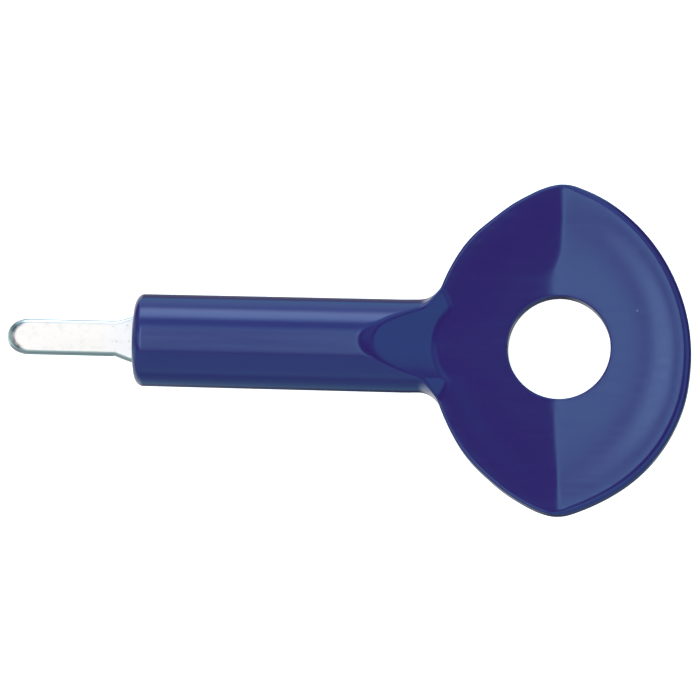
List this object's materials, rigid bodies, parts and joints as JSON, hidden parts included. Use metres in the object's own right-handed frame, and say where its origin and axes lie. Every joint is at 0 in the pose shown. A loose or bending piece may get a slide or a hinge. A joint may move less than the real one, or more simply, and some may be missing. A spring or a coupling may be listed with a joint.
{
  "type": "flat-blade key",
  "caption": "Flat steel key blade with a rounded nose, moulded into a one-piece blue plastic grip: round shank, scooped neck and pointed-oval bow with a round hanging hole.",
  "frame": {"origin": "centre of the hanging hole, on the key's mid-plane", "axes": "+X along the turning axis from the blade to the end of the bow, +Z square to the flat of the bow, +Y across the bow"},
  "size_m": [0.0646, 0.0312, 0.0088],
  "materials": {
    "blade_steel": "bright zinc-plated steel strip, satin flats with rolled edges",
    "grip_plastic": "glossy dark blue injection-moulded plastic"
  },
  "bodies": {
    "root": {"blade": "blade_steel", "grip": "grip_plastic"}
  },
  "joints": []
}
